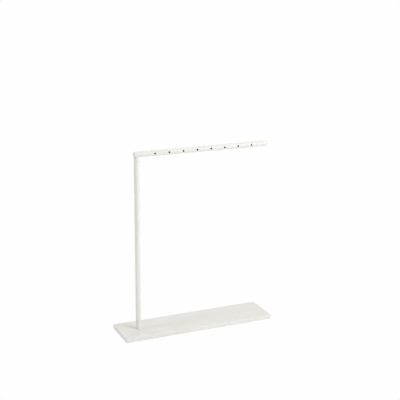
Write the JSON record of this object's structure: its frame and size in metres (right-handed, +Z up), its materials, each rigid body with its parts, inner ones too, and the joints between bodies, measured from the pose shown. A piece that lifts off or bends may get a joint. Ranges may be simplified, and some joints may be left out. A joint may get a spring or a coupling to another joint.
{
  "type": "counter display stand",
  "caption": "Counter display stand: flat rectangular base, round post near the base's left end and a level round arm pierced by a row of small holes for hanging goods.",
  "frame": {"origin": "middle of the base's footprint, on the counter under the pads", "axes": "+X along the base and the arm towards the arm's free end, +Y to the back, +Z up along the post"},
  "size_m": [0.3, 0.075, 0.35],
  "materials": {
    "white_powder_coat": "satin",
    "white_plastic": "satin",
    "pad_rubber": "matte",
    "zinc_steel": "satin",
    "plain_steel": "satin"
  },
  "bodies": {
    "root": {"base_plate": "white_powder_coat", "foot_pad_front_left": "pad_rubber", "foot_pad_front_right": "pad_rubber", "foot_pad_rear_left": "pad_rubber", "foot_pad_rear_right": "pad_rubber", "base_screw": "zinc_steel", "base_lock_washer": "zinc_steel", "base_flat_washer": "zinc_steel", "post_tube": "white_powder_coat", "post_foot_insert": "plain_steel", "post_top_insert": "plain_steel", "arm_stud": "zinc_steel", "arm_tube": "white_powder_coat", "arm_end_plug": "white_powder_coat", "arm_tip_cap": "white_plastic"}
  },
  "joints": []
}
